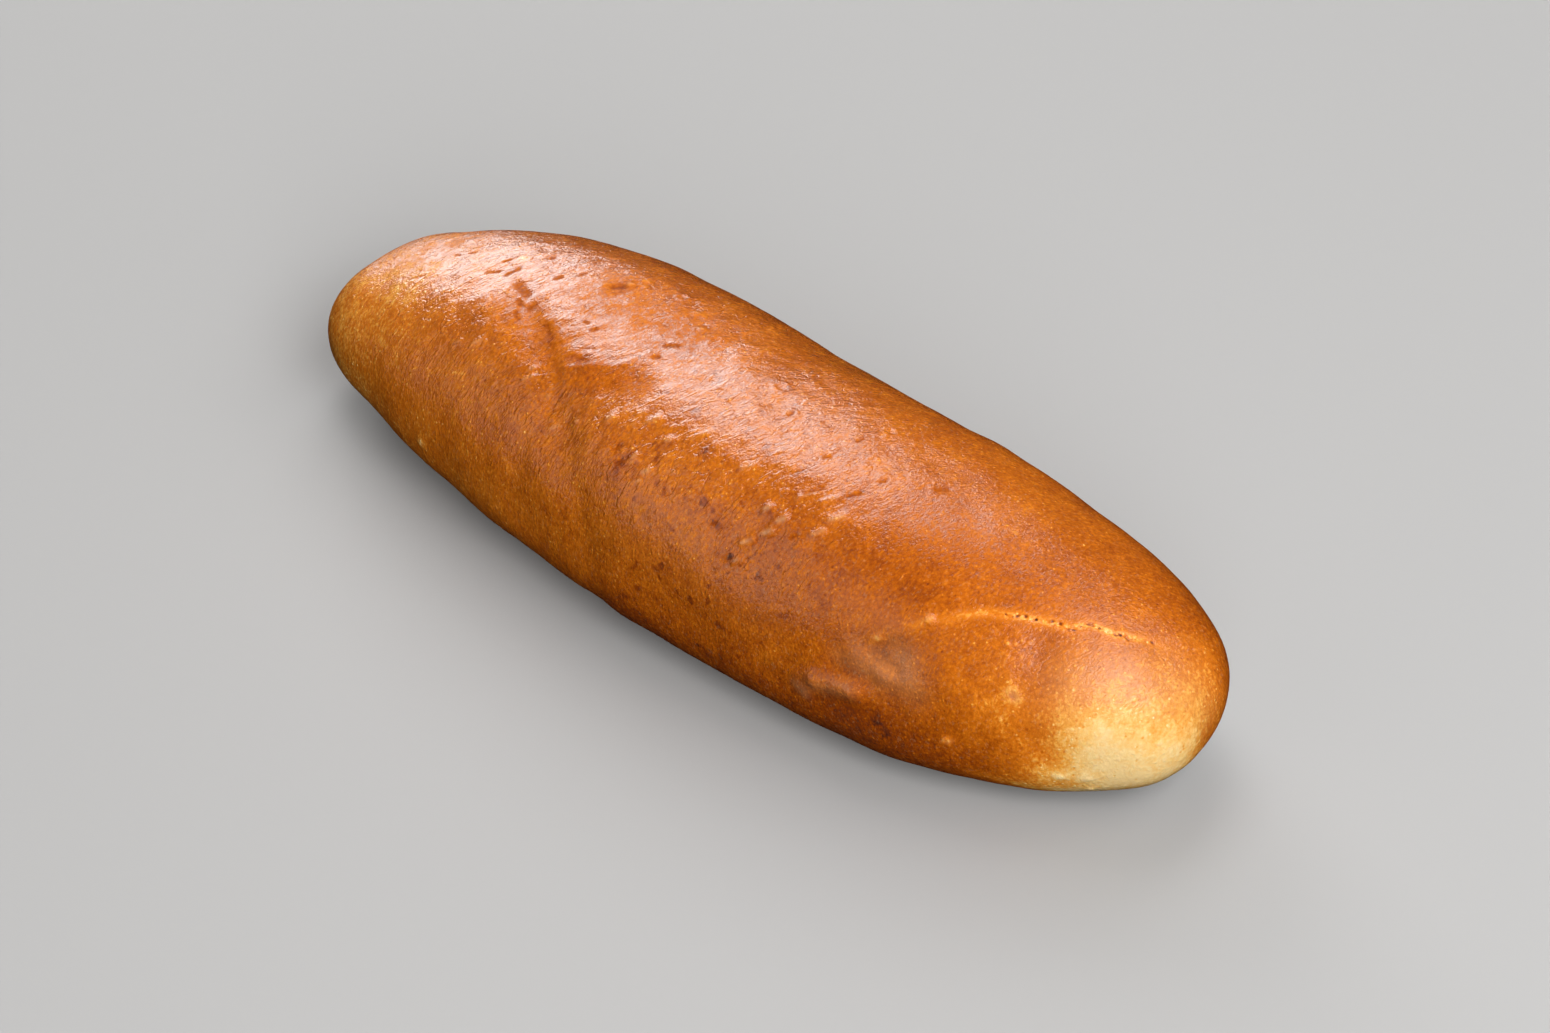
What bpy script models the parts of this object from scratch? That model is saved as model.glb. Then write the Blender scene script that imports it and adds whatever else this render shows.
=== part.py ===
"""Hot dog bun: one uncut, glazed roll that lies on its flat base.

Lengths are in metres. +X runs along the roll to the end with the fold, +Y is the
far side and +Z is up. The origin is under the middle of the roll, on its base.
"""

import math

import bmesh
import bpy
from mathutils import Vector, noise

# Driving sizes of the whole roll
LENGTH = 0.170
WIDTH = 0.0609
HEIGHT = 0.040
SHOULDER = 0.0140

# Share of the half width that the front side keeps, as it bulges less than the far side
FRONT_SHARE = 0.82

# Fullness of the outline seen from above, from the side and under the shoulder,
# at the plain end (-X) and at the folded end (+X); 2 is an ellipse, more is boxier
PLAN_FULLNESS = (2.70, 2.57)
SIDE_FULLNESS = (2.11, 2.31)
BASE_FULLNESS = (2.60, 3.00)

# Fullness of the cross section over and under the shoulder
UPPER_FULLNESS = 2.19
LOWER_FULLNESS = 2.60

# How far the underside would reach past the flat base that cuts it, as a share of SHOULDER
BASE_CUT = 1.15

# Sideways bow of the middle, and sideways lean of the two tips. A higher power keeps
# the lean nearer to the tip
BOW = -0.0044
TIP_LEAN = (-0.0070, 0.0048)
LEAN_POWER = (4.6, 2.0)

# Cells of the mesh along the roll, across it and up it
CELLS = (68, 20, 16)

# Relief fades out over this height above the base, so that the base stays flat
BASE_FADE = 0.006

# Unevenness of the crust: size of a wave and its height
UNEVENNESS = ((0.034, 0.0011), (0.014, 0.00045), (0.007, 0.00018))
UNEVEN_SEED = Vector((3.7, 1.9, 8.2))

# Fold of the dough at the +X end: a plane that leans across the top of the end
FOLD_POINT = Vector((0.0647, -0.0027, 0.0299))
FOLD_NORMAL = Vector((0.61, -0.785, -0.11)).normalized()
FOLD_START = 0.044
FOLD_END = 0.086
FOLD_FADE = 0.010
FOLD_FLOOR = 0.016
FOLD_WIDTH = 0.0019
FOLD_DEPTH = 0.0003
FOLD_STEP = 0.0004
FOLD_STEP_REACH = 0.012

# Soft pinch across the plain end's third of the roll
PINCH_POINT = Vector((-0.0258, -0.0182, 0.0283))
PINCH_NORMAL = Vector((0.60, 0.77, 0.20)).normalized()
PINCH_START = -0.047
PINCH_END = -0.004
PINCH_FADE = 0.010
PINCH_WIDTH = 0.0030
PINCH_DEPTH = 0.0005

# Soft hollows: two ends of the hollow's line, its half width and its depth
HOLLOWS = (
    # Valley between the dome of the folded end and the side
    (Vector((0.0650, -0.0088, 0.0290)), Vector((0.0690, -0.0142, 0.0180)), 0.0034, 0.0007),
    # Pocket under the start of the fold
    (Vector((0.0435, -0.0210, 0.0258)), Vector((0.0465, -0.0202, 0.0255)), 0.0026, 0.0008),
    # Creases low on the front side
    (Vector((0.0380, -0.0235, 0.0215)), Vector((0.0430, -0.0229, 0.0205)), 0.0024, 0.0004),
    (Vector((0.0440, -0.0226, 0.0195)), Vector((0.0540, -0.0200, 0.0200)), 0.0028, 0.0004),
)

# Soft swellings: two ends of the swelling's line, its half width and its height
SWELLS = (
    # Lip over the pocket, and the low folds' lips
    (Vector((0.0425, -0.0207, 0.0275)), Vector((0.0485, -0.0165, 0.0305)), 0.0022, 0.0003),
    (Vector((0.0370, -0.0243, 0.0172)), Vector((0.0430, -0.0238, 0.0178)), 0.0026, 0.0003),
    # Dome of the folded end
    (Vector((0.0775, -0.0070, 0.0220)), Vector((0.0800, -0.0030, 0.0200)), 0.0070, 0.0005),
    # Fuller places of the outline, round the roll from the front of the plain end
    (Vector((-0.0800, -0.0180, 0.0130)), Vector((-0.0780, -0.0190, 0.0140)), 0.0080, 0.0005),
    (Vector((-0.0170, -0.0260, 0.0060)), Vector((-0.0090, -0.0265, 0.0080)), 0.0080, 0.0006),
    (Vector((0.0150, -0.0240, 0.0050)), Vector((0.0380, -0.0235, 0.0080)), 0.0080, 0.0005),
    (Vector((0.0480, -0.0200, 0.0080)), Vector((0.0560, -0.0185, 0.0080)), 0.0080, 0.0007),
    (Vector((0.0640, -0.0160, 0.0080)), Vector((0.0680, -0.0140, 0.0080)), 0.0060, 0.0004),
    (Vector((0.0820, 0.0000, 0.0100)), Vector((0.0840, 0.0030, 0.0100)), 0.0080, 0.0008),
    (Vector((0.0780, 0.0195, 0.0160)), Vector((0.0810, 0.0160, 0.0170)), 0.0080, 0.0009),
    (Vector((0.0500, 0.0220, 0.0270)), Vector((0.0680, 0.0210, 0.0250)), 0.0080, 0.0004),
    (Vector((0.0330, 0.0225, 0.0290)), Vector((0.0400, 0.0215, 0.0280)), 0.0080, 0.0008),
    (Vector((-0.0080, 0.0210, 0.0290)), Vector((0.0040, 0.0230, 0.0270)), 0.0080, 0.0005),
    (Vector((-0.0520, 0.0190, 0.0270)), Vector((-0.0440, 0.0200, 0.0290)), 0.0080, 0.0004),
    (Vector((-0.0800, -0.0080, 0.0210)), Vector((-0.0780, 0.0020, 0.0230)), 0.0080, 0.0008),
)

CRUST_COLOUR = (0.44, 0.16, 0.025, 1.0)
CRUST_ROUGHNESS = 0.38


def clear_scene():
    for item in list(bpy.data.objects):
        bpy.data.objects.remove(item, do_unlink=True)


def crust_material():
    material = bpy.data.materials.new("crust")
    material.use_nodes = True
    shader = material.node_tree.nodes["Principled BSDF"]
    shader.inputs["Base Color"].default_value = CRUST_COLOUR
    shader.inputs["Roughness"].default_value = CRUST_ROUGHNESS
    shader.inputs["Metallic"].default_value = 0.0
    return material


def ease(value, low, high):
    """Smooth step from 0 at low to 1 at high."""
    share = min(1.0, max(0.0, (value - low) / (high - low)))
    return share * share * (3.0 - 2.0 * share)


def bell(distance, width):
    return math.exp(-((distance / width) ** 2))


def taper(reach, fullness):
    """Share of the middle section that is left at a reach of -1 to 1 along the roll."""
    return max(0.0, 1.0 - abs(reach) ** fullness) ** (1.0 / fullness)


def rounded(share, fullness):
    """Coordinate of a superellipse, from the cosine or sine of its angle."""
    return math.copysign(abs(share) ** (2.0 / fullness), share)


def roll_point(reach, angle):
    """Point of the plain form. The angle turns from the far side over the top to the front."""
    end = 0 if reach < 0 else 1
    across = math.cos(angle)
    up = math.sin(angle)
    section = UPPER_FULLNESS if up > 0 else LOWER_FULLNESS
    half_width = WIDTH / 2 * taper(reach, PLAN_FULLNESS[end])
    if across < 0:
        half_width *= FRONT_SHARE
    y = half_width * rounded(across, section)
    y += BOW * (1 - reach * reach) + TIP_LEAN[end] * abs(reach) ** LEAN_POWER[end]
    if up > 0:
        crown = (HEIGHT - SHOULDER) * taper(reach, SIDE_FULLNESS[end])
        z = SHOULDER + crown * rounded(up, section)
    else:
        belly = BASE_CUT * SHOULDER * taper(reach, BASE_FULLNESS[end])
        z = max(0.0, SHOULDER + belly * rounded(up, section))
    return Vector((LENGTH / 2 * reach, y, z))


def block_to_roll(corner):
    """Move a point of the gridded block to its place on the plain form."""
    ray = Vector([math.tan(value * math.pi / 4) for value in corner]).normalized()
    turn = math.asin(max(-1.0, min(1.0, ray.x))) / (math.pi / 2)
    left = 1 - abs(turn)
    reach = math.copysign(1 - left * left * (1 - 0.4 * abs(turn)), turn)
    return roll_point(reach, math.atan2(ray.z, ray.y))


def gridded_block(cells):
    mesh = bmesh.new()
    bmesh.ops.create_cube(mesh, size=2.0)
    for axis, count in enumerate(cells):
        along = []
        for edge in mesh.edges:
            run = edge.verts[1].co - edge.verts[0].co
            if abs(run[axis]) > 1.5:
                along.append(edge)
        bmesh.ops.subdivide_edges(mesh, edges=along, cuts=count - 1)
    return mesh


def distance_to_line(point, start, end):
    run = end - start
    share = max(0.0, min(1.0, (point - start).dot(run) / run.length_squared))
    return (point - start - run * share).length


def uneven_relief(point):
    height = 0.0
    for size, amount in UNEVENNESS:
        height += amount * noise.noise(point / size + UNEVEN_SEED)
    return height


def fold_relief(point):
    """Groove of the fold, with the dough on its front side a little lower."""
    distance = (point - FOLD_POINT).dot(FOLD_NORMAL)
    run = ease(point.x, FOLD_START, FOLD_START + FOLD_FADE)
    run *= 1 - ease(point.x, FOLD_END - FOLD_FADE / 2, FOLD_END)
    run *= ease(point.z, FOLD_FLOOR, FOLD_FLOOR + FOLD_FADE / 2)
    groove = FOLD_DEPTH * bell(distance, FOLD_WIDTH)
    step = FOLD_STEP * ease(distance, -FOLD_WIDTH, 0.0)
    step *= 1 - ease(distance, 0.0, FOLD_STEP_REACH)
    return -run * (groove + step)


def pinch_relief(point):
    distance = (point - PINCH_POINT).dot(PINCH_NORMAL)
    run = ease(point.x, PINCH_START, PINCH_START + PINCH_FADE)
    run *= 1 - ease(point.x, PINCH_END - PINCH_FADE, PINCH_END)
    return -run * PINCH_DEPTH * bell(distance, PINCH_WIDTH)


def soft_relief(point, places):
    """Sum of the soft swellings or hollows, each bell shaped round its line."""
    total = 0.0
    for start, end, width, height in places:
        total += height * bell(distance_to_line(point, start, end), width)
    return total


def relief(point):
    height = uneven_relief(point) + fold_relief(point) + pinch_relief(point)
    height += soft_relief(point, SWELLS) - soft_relief(point, HOLLOWS)
    return height * ease(point.z, 0.0, BASE_FADE)


def settle(mesh):
    """Put the middle of the roll's box over the origin. The flat base is at height 0 already."""
    for axis in (0, 1):
        places = [vertex.co[axis] for vertex in mesh.verts]
        middle = (min(places) + max(places)) / 2
        for vertex in mesh.verts:
            vertex.co[axis] -= middle


def make_bun():
    mesh = gridded_block(CELLS)
    for vertex in mesh.verts:
        vertex.co = block_to_roll(vertex.co)
    settle(mesh)
    mesh.normal_update()
    moves = [vertex.normal * relief(vertex.co) for vertex in mesh.verts]
    for vertex, move in zip(mesh.verts, moves):
        vertex.co += move
    settle(mesh)
    bmesh.ops.recalc_face_normals(mesh, faces=mesh.faces)
    data = bpy.data.meshes.new("bun")
    mesh.to_mesh(data)
    mesh.free()
    data.materials.append(crust_material())
    bun = bpy.data.objects.new("bun", data)
    bpy.context.collection.objects.link(bun)
    return bun


clear_scene()
make_bun()
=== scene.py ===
"""Looks of the hot dog bun: one uncut, glazed roll that lies on its flat base.

Lengths are in metres. +X runs along the roll to the end with the fold, +Y is the
far side and +Z is up.
"""
import math

import bmesh
import bpy
import numpy as np
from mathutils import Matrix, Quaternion, Vector, noise


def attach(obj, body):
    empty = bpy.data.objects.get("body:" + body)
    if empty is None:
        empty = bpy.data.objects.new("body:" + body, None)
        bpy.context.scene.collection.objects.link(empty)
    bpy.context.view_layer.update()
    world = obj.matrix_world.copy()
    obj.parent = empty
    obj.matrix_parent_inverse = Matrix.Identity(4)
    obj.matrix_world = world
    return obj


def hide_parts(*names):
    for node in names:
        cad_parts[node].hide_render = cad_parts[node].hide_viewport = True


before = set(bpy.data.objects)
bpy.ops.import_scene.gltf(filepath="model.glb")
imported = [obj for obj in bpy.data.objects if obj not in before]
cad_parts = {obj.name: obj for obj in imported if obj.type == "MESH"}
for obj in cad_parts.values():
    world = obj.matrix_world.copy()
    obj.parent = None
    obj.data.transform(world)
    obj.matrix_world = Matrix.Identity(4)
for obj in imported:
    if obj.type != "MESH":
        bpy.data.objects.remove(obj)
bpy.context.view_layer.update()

# Form of the roll, the same as that of the solid
LENGTH = 0.170
WIDTH = 0.0609
HEIGHT = 0.040
SHOULDER = 0.0140
FRONT_SHARE = 0.82
PLAN_FULLNESS = (2.70, 2.57)
SIDE_FULLNESS = (2.11, 2.31)
BASE_FULLNESS = (2.60, 3.00)
UPPER_FULLNESS = 2.19
LOWER_FULLNESS = 2.60
BASE_CUT = 1.15
BOW = -0.0044
TIP_LEAN = (-0.0070, 0.0048)
LEAN_POWER = (4.6, 2.0)

# Block that is bent into the roll: its size, its cells along the roll, across it and up it, and
# how much closer they lie on the top than on the base and at the tips than in the middle
BLOCK_SIZE = 2.0
CELLS = (222, 54, 46)
CROWDING = 0.30
TIP_CROWDING = 0.4

# Finer cells on the top of the plain half, between these corners, and within these distances of
# the seam and of the blisters and dimples
FINE_BOX = ((-0.062, -0.0225, 0.0290), (0.036, 0.0120, 0.0450))
FINE_SEAM_REACH = 0.0018
FINE_REACH = 0.0013

# Relief fades out over this height above the base, so that the base stays flat
BASE_FADE = 0.006

# Unevenness of the crust: size of a wave and its height
UNEVENNESS = ((0.034, 0.0011), (0.014, 0.00045), (0.007, 0.00018))
UNEVEN_SEED = (3.7, 1.9, 8.2)

# Fold of the dough at the +X end: a plane that leans across the top of the end
FOLD_POINT = (0.0647, -0.0027, 0.0299)
FOLD_NORMAL = (0.61, -0.785, -0.11)
FOLD_START = 0.044
FOLD_END = 0.086
FOLD_FADE = 0.010
FOLD_FLOOR = 0.016
FOLD_WIDTH = 0.0019
FOLD_DEPTH = 0.00005
FOLD_STEP = 0.00014
FOLD_STEP_REACH = 0.012

# Soft pinch across the plain end's third of the roll
PINCH_POINT = (-0.0258, -0.0182, 0.0283)
PINCH_NORMAL = (0.60, 0.77, 0.20)
PINCH_START = -0.047
PINCH_END = -0.004
PINCH_FADE = 0.010
PINCH_WIDTH = 0.0030
PINCH_DEPTH = 0.0005

# Soft hollows: two ends of the line, its half width and its depth
HOLLOWS = (
    # Valley between the dome of the folded end and the side
    ((0.0650, -0.0088, 0.0290), (0.0690, -0.0142, 0.0180), 0.0034, 0.0005),
    # Pocket under the start of the fold, and creases low on the front side
    ((0.0435, -0.0210, 0.0258), (0.0465, -0.0202, 0.0255), 0.0026, 0.0006),
    ((0.0380, -0.0235, 0.0215), (0.0430, -0.0229, 0.0205), 0.0024, 0.0003),
    ((0.0440, -0.0226, 0.0195), (0.0540, -0.0200, 0.0200), 0.0028, 0.0004),
)

# Soft swellings: two ends of the line, its half width and its height
SWELLS = (
    # Lip over the pocket, the low folds' lips and the dome of the folded end
    ((0.0425, -0.0207, 0.0275), (0.0485, -0.0165, 0.0305), 0.0022, 0.0003),
    ((0.0370, -0.0243, 0.0172), (0.0430, -0.0238, 0.0178), 0.0026, 0.0003),
    ((0.0775, -0.0070, 0.0220), (0.0800, -0.0030, 0.0200), 0.0070, 0.0005),
    # Fuller places of the outline, round the roll from the front of the plain end
    ((-0.0800, -0.0180, 0.0130), (-0.0780, -0.0190, 0.0140), 0.0080, 0.0005),
    ((-0.0170, -0.0260, 0.0060), (-0.0090, -0.0265, 0.0080), 0.0080, 0.0006),
    ((0.0150, -0.0240, 0.0050), (0.0380, -0.0235, 0.0080), 0.0080, 0.0005),
    ((0.0480, -0.0200, 0.0080), (0.0560, -0.0185, 0.0080), 0.0080, 0.0007),
    ((0.0640, -0.0160, 0.0080), (0.0680, -0.0140, 0.0080), 0.0060, 0.0004),
    ((0.0820, 0.0000, 0.0100), (0.0840, 0.0030, 0.0100), 0.0080, 0.0008),
    ((0.0780, 0.0195, 0.0160), (0.0810, 0.0160, 0.0170), 0.0080, 0.0009),
    ((0.0500, 0.0220, 0.0270), (0.0680, 0.0210, 0.0250), 0.0080, 0.0004),
    ((0.0330, 0.0225, 0.0290), (0.0400, 0.0215, 0.0280), 0.0080, 0.0008),
    ((-0.0080, 0.0210, 0.0290), (0.0040, 0.0230, 0.0270), 0.0080, 0.0005),
    ((-0.0520, 0.0190, 0.0270), (-0.0440, 0.0200, 0.0290), 0.0080, 0.0004),
    ((-0.0800, -0.0080, 0.0210), (-0.0780, 0.0020, 0.0230), 0.0080, 0.0008),
)

# Skin of the glaze: size of a wave, its height, how much longer it is round the roll than
# along it, and the share of it that the smoother folded half keeps
SKIN = (
    (0.0090, 0.00012, 1.0, 0.35),
    (0.0048, 0.00012, 1.1, 0.35),
    (0.0024, 0.00014, 1.5, 0.30),
    (0.0012, 0.00011, 1.9, 0.30),
)
SKIN_SEED = (5.1, 2.3, 0.7)

# How far the wrinkles of the skin turn from straight across the roll
SLANT = math.radians(22.0)

# Places along the roll where the wrinkled plain half ends and the smooth folded half begins
SMOOTH_START = 0.008
SMOOTH_END = 0.048

# The skin is smoother on the far side, low on the front side and at the plain tip: where each of
# them starts and is complete, how much of it the tip has, the share of the skin's relief that is
# left there, and how smooth the finest relief is near the foot
FAR_START = 0.006
FAR_END = 0.016
LOW_START = 0.0335
LOW_END = 0.0180
TIP_START = -0.050
TIP_END = -0.066
TIP_SMOOTH = 0.6
SIDE_SHARE = 0.20
LOW_SMOOTH = 0.8

# Seam of the fold: its path over the +X end, from the front side to the far side
SEAM = (
    (0.0430, -0.0203, 0.0269),
    (0.0453, -0.0190, 0.0282),
    (0.0475, -0.0176, 0.0298),
    (0.0492, -0.0157, 0.0316),
    (0.0506, -0.0149, 0.0313),
    (0.0527, -0.0124, 0.0322),
    (0.0554, -0.0099, 0.0326),
    (0.0594, -0.0074, 0.0325),
    (0.0639, -0.0045, 0.0319),
    (0.0665, -0.0032, 0.0314),
    (0.0677, -0.0008, 0.0314),
    (0.0713, 0.0011, 0.0301),
    (0.0745, 0.0046, 0.0284),
    (0.0796, 0.0093, 0.0242),
)

# Where the seam starts and ends along the roll, its groove, the low rims at a distance from it
# and the half width of its pale line
SEAM_ENDS = (0.0453, 0.0594, 0.0713, 0.0796)
SEAM_WIDTH = 0.00032
SEAM_DEPTH = 0.00008
SEAM_RIM = 0.00075
SEAM_RIM_WIDTH = 0.00045
SEAM_RIM_HEIGHT = 0.00003
SEAM_PALE_WIDTH = 0.00080

# Small pits: place, radius and depth, and how much browner they are
PITS = (
    # Along the seam
    ((0.0593, -0.0074, 0.0325), 0.00021, 0.00021),
    ((0.0603, -0.0066, 0.0325), 0.00021, 0.00021),
    ((0.0617, -0.0059, 0.0321), 0.00019, 0.00019),
    ((0.0637, -0.0044, 0.0320), 0.00021, 0.00021),
    ((0.0648, -0.0038, 0.0318), 0.00022, 0.00024),
    ((0.0662, -0.0036, 0.0314), 0.00027, 0.00032),
    ((0.0668, -0.0032, 0.0312), 0.00025, 0.00027),
    ((0.0677, -0.0008, 0.0314), 0.00025, 0.00027),
    ((0.0682, -0.0004, 0.0313), 0.00022, 0.00022),
    ((0.0713, 0.0011, 0.0300), 0.00025, 0.00027),
    ((0.0718, 0.0017, 0.0299), 0.00023, 0.00023),
    ((0.0727, 0.0023, 0.0295), 0.00029, 0.00036),
    ((0.0752, 0.0054, 0.0277), 0.00022, 0.00022),
    # In the burst blister below it
    ((0.0646, -0.0144, 0.0244), 0.00038, 0.00045),
)
PIT_BAKE = 0.9

# Dimples that show the brown under the glaze: two ends, half width and depth, and how much
# browner they are and how much thinner their glaze is
DIMPLES = (
    ((-0.0548, -0.0038, 0.0343), (-0.0532, -0.0026, 0.0347), 0.00046, 0.00022),
    ((-0.0487, 0.0046, 0.0355), (-0.0483, 0.0053, 0.0354), 0.00042, 0.00020),
    ((-0.0433, 0.0007, 0.0366), (-0.0429, 0.0014, 0.0366), 0.00050, 0.00025),
    ((-0.0406, 0.0036, 0.0370), (-0.0404, 0.0045, 0.0369), 0.00042, 0.00020),
    ((-0.0284, -0.0117, 0.0365), (-0.0261, -0.0113, 0.0369), 0.00067, 0.00012),
    ((-0.0163, -0.0049, 0.0387), (-0.0158, -0.0046, 0.0388), 0.00046, 0.00022),
    ((-0.0170, -0.0018, 0.0387), (-0.0152, -0.0006, 0.0390), 0.00042, 0.00020),
    ((-0.0338, 0.0041, 0.0378), (-0.0326, 0.0050, 0.0378), 0.00067, 0.00025),
    ((0.0365, 0.0015, 0.0380), (0.0373, 0.0026, 0.0377), 0.00059, 0.00022),
    ((0.0197, -0.0055, 0.0395), (0.0203, -0.0050, 0.0395), 0.00046, 0.00020),
    ((0.0295, -0.0038, 0.0391), (0.0299, -0.0033, 0.0390), 0.00046, 0.00020),
    ((0.0212, 0.0005, 0.0396), (0.0215, 0.0015, 0.0395), 0.00029, 0.00020),
    ((0.0095, -0.0023, 0.0398), (0.0096, -0.0011, 0.0398), 0.00029, 0.00020),
    ((-0.0513, -0.0026, 0.0350), (-0.0506, -0.0007, 0.0354), 0.00063, 0.00028),
    ((-0.0476, -0.0039, 0.0357), (-0.0444, -0.0049, 0.0360), 0.00095, 0.00036),
    ((-0.0446, -0.0068, 0.0359), (-0.0436, -0.0073, 0.0358), 0.00050, 0.00020),
    ((-0.0430, -0.0091, 0.0356), (-0.0420, -0.0097, 0.0354), 0.00050, 0.00020),
    ((-0.0418, -0.0071, 0.0358), (-0.0416, -0.0061, 0.0361), 0.00046, 0.00016),
    ((-0.0643, -0.0017, 0.0317), (-0.0636, -0.0015, 0.0320), 0.00034, 0.00014),
    ((-0.0622, -0.0005, 0.0324), (-0.0615, 0.0000, 0.0327), 0.00034, 0.00014),
    ((-0.0544, -0.0003, 0.0348), (-0.0538, 0.0007, 0.0349), 0.00038, 0.00014),
    ((-0.0363, -0.0087, 0.0360), (-0.0342, -0.0101, 0.0361), 0.00071, 0.00020),
    ((-0.0291, -0.0059, 0.0379), (-0.0287, -0.0054, 0.0379), 0.00042, 0.00010),
    ((-0.0315, -0.0050, 0.0377), (-0.0307, -0.0051, 0.0378), 0.00034, 0.00016),
    ((0.0218, -0.0126, 0.0380), (0.0234, -0.0105, 0.0385), 0.00050, 0.00018),
    ((0.0275, -0.0092, 0.0385), (0.0285, -0.0076, 0.0386), 0.00046, 0.00016),
    ((-0.0105, -0.0206, 0.0332), (-0.0099, -0.0198, 0.0339), 0.00046, 0.00020),
    ((-0.0088, -0.0218, 0.0323), (-0.0084, -0.0213, 0.0327), 0.00046, 0.00018),
    ((0.0152, -0.0236, 0.0276), (0.0156, -0.0231, 0.0284), 0.00055, 0.00022),
    ((0.0112, -0.0218, 0.0317), (0.0115, -0.0215, 0.0320), 0.00050, 0.00014),
    ((0.0185, -0.0208, 0.0316), (0.0188, -0.0205, 0.0319), 0.00042, 0.00016),
    ((0.0239, -0.0180, 0.0342), (0.0245, -0.0175, 0.0346), 0.00042, 0.00016),
)
DIMPLE_BAKE = 0.13
DIMPLE_GLAZE = -0.52

# Rings of burst bubbles in the glaze: place, radius of the ring and its height, the half width
# of its rim and the depth of its middle as a share of the height
RINGS = (
    ((-0.0319, 0.0076, 0.0378), 0.00100, 0.00014),
    ((-0.0117, 0.0042, 0.0390), 0.00110, 0.00022),
    ((0.0041, 0.0021, 0.0396), 0.00120, 0.00020),
    ((0.0230, 0.0062, 0.0387), 0.00110, 0.00010),
    ((0.0296, -0.0030, 0.0391), 0.00090, 0.00007),
    ((0.0094, -0.0017, 0.0397), 0.00090, 0.00014),
    ((-0.0239, 0.0099, 0.0375), 0.00100, 0.00020),
    ((0.0825, 0.0064, 0.0214), 0.00080, 0.00016),
    ((0.0647, -0.0143, 0.0245), 0.00065, 0.00014),
)
RING_WIDTH = 0.00035
RING_DIP = 0.6

# Small ridges and blisters that catch the light: place, half length round the roll,
# half width and height
BLISTERS = (
    ((-0.0319, 0.0065, 0.0384), 0.0006, 0.00060, 0.00041),
    ((-0.0301, 0.0074, 0.0383), 0.0005, 0.00050, 0.00037),
    ((-0.0308, 0.0090, 0.0379), 0.0007, 0.00050, 0.00037),
    ((-0.0350, 0.0041, 0.0381), 0.0006, 0.00050, 0.00020),
    ((-0.0455, -0.0158, 0.0326), 0.0012, 0.00057, 0.00023),
    ((-0.0494, -0.0170, 0.0309), 0.0010, 0.00057, 0.00023),
    ((-0.0189, 0.0081, 0.0385), 0.0004, 0.00069, 0.00050),
    ((-0.0155, 0.0049, 0.0391), 0.0004, 0.00069, 0.00047),
    ((0.0492, -0.0157, 0.0316), 0.0003, 0.00060, 0.00050),
    ((0.0429, -0.0204, 0.0267), 0.0006, 0.00069, 0.00030),
    ((0.0730, -0.0126, 0.0111), 0.0001, 0.00069, 0.00028),
    ((0.0762, -0.0099, 0.0108), 0.0001, 0.00069, 0.00028),
    ((0.0761, -0.0088, 0.0077), 0.0001, 0.00057, 0.00025),
    ((0.0576, -0.0204, 0.0145), 0.0001, 0.00069, 0.00028),
    ((0.0567, -0.0208, 0.0145), 0.0001, 0.00057, 0.00025),
    ((-0.0512, -0.0247, 0.0131), 0.0001, 0.00092, 0.00028),
    ((-0.0330, -0.0158, 0.0340), 0.0004, 0.00055, 0.00032),
    ((-0.0328, -0.0173, 0.0332), 0.0009, 0.00055, 0.00034),
    ((-0.0275, -0.0177, 0.0327), 0.0002, 0.00055, 0.00032),
    ((-0.0203, -0.0192, 0.0326), 0.0002, 0.00060, 0.00032),
    ((-0.0146, -0.0173, 0.0356), 0.0004, 0.00085, 0.00038),
    ((-0.0239, -0.0205, 0.0300), 0.0008, 0.00060, 0.00032),
    ((-0.0076, -0.0149, 0.0375), 0.0008, 0.00065, 0.00032),
    ((-0.0103, -0.0147, 0.0373), 0.0004, 0.00060, 0.00026),
    ((-0.0067, -0.0205, 0.0342), 0.0003, 0.00075, 0.00038),
    ((-0.0034, -0.0213, 0.0336), 0.0005, 0.00080, 0.00042),
    ((-0.0040, -0.0228, 0.0321), 0.0008, 0.00055, 0.00028),
    ((-0.0030, -0.0164, 0.0369), 0.0003, 0.00080, 0.00030),
    ((0.0016, -0.0129, 0.0388), 0.0010, 0.00055, 0.00024),
    ((0.0112, -0.0139, 0.0383), 0.0010, 0.00065, 0.00034),
    ((-0.0012, -0.0248, 0.0293), 0.0018, 0.00040, 0.00022),
    ((0.0180, -0.0172, 0.0361), 0.0003, 0.00095, 0.00058),
    ((0.0211, -0.0173, 0.0356), 0.0005, 0.00090, 0.00056),
    ((0.0199, -0.0194, 0.0337), 0.0009, 0.00090, 0.00058),
    ((0.0176, -0.0212, 0.0316), 0.0009, 0.00080, 0.00050),
    ((0.0285, -0.0130, 0.0375), 0.0010, 0.00085, 0.00048),
    ((0.0273, -0.0160, 0.0358), 0.0008, 0.00070, 0.00040),
    ((0.0170, -0.0233, 0.0287), 0.0006, 0.00060, 0.00038),
    ((0.0224, -0.0123, 0.0382), 0.0016, 0.00060, 0.00028),
    ((0.0260, -0.0109, 0.0385), 0.0018, 0.00055, 0.00026),
    ((0.0607, -0.0111, 0.0304), 0.0001, 0.00032, 0.00020),
    ((0.0616, -0.0104, 0.0305), 0.0001, 0.00030, 0.00018),
    ((0.0621, -0.0095, 0.0307), 0.0001, 0.00030, 0.00018),
    ((0.0630, -0.0090, 0.0305), 0.0001, 0.00032, 0.00020),
    ((0.0632, -0.0109, 0.0293), 0.0001, 0.00030, 0.00016),
    ((0.0579, -0.0115, 0.0313), 0.0001, 0.00035, 0.00018),
)

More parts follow.
